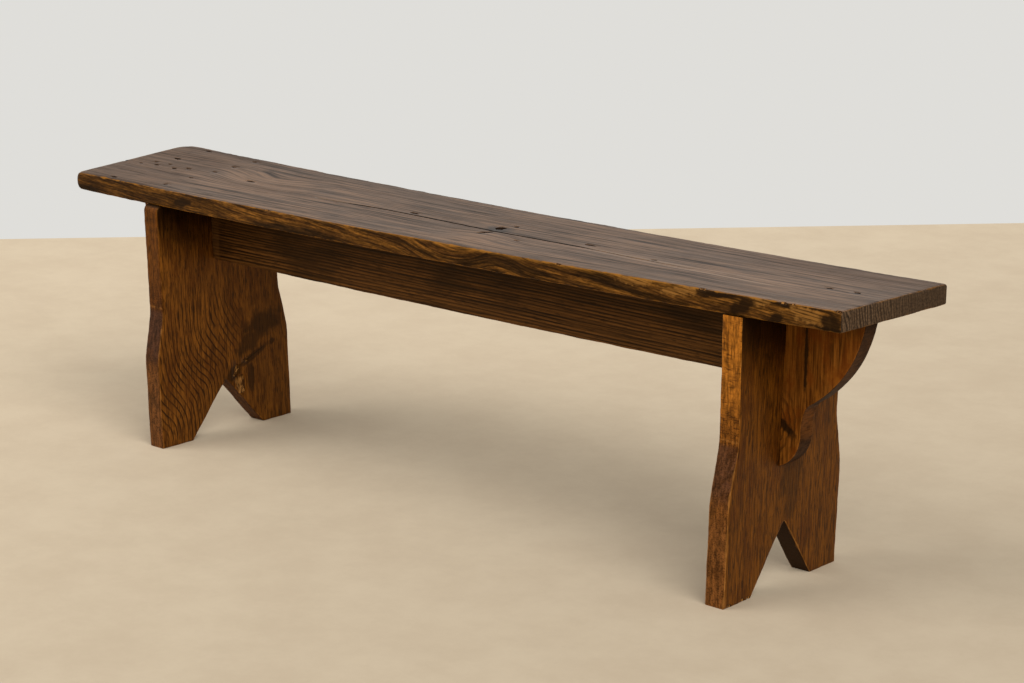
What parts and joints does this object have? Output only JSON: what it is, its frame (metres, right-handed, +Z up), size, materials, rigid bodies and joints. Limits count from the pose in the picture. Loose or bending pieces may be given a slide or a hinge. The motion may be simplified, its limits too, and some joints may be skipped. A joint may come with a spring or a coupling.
{
  "type": "farmhouse bench",
  "caption": "Long backless wooden bench: a plank seat nailed to notched board legs, a stretcher on edge beneath and curved brackets under the overhanging ends.",
  "frame": {"origin": "on the floor under the middle of the bench", "axes": "+X along the seat, +Y across it to the back, +Z up"},
  "size_m": [1.588, 0.3, 0.45],
  "materials": {
    "seat_wood": "worn dark stain, dull satin",
    "leg_wood": "warm brown stain, satin",
    "stretcher_wood": "dark brown stain, satin",
    "bracket_wood": "orange brown stain, satin, sawn edges darker",
    "nail_iron": "dark, rusted, matt"
  },
  "bodies": {
    "root": {"seat_plank": "seat_wood", "left_leg": "leg_wood", "right_leg": "leg_wood", "stretcher": "stretcher_wood", "left_bracket": "bracket_wood", "right_bracket": "bracket_wood", "seat_to_left_leg_nails": "nail_iron", "seat_to_right_leg_nails": "nail_iron", "seat_to_stretcher_nails": "nail_iron", "seat_to_left_bracket_nails": "nail_iron", "seat_to_right_bracket_nails": "nail_iron", "left_leg_to_stretcher_nails": "nail_iron", "right_leg_to_stretcher_nails": "nail_iron", "left_bracket_to_leg_nail": "nail_iron", "right_bracket_to_leg_nail": "nail_iron"}
  },
  "joints": []
}
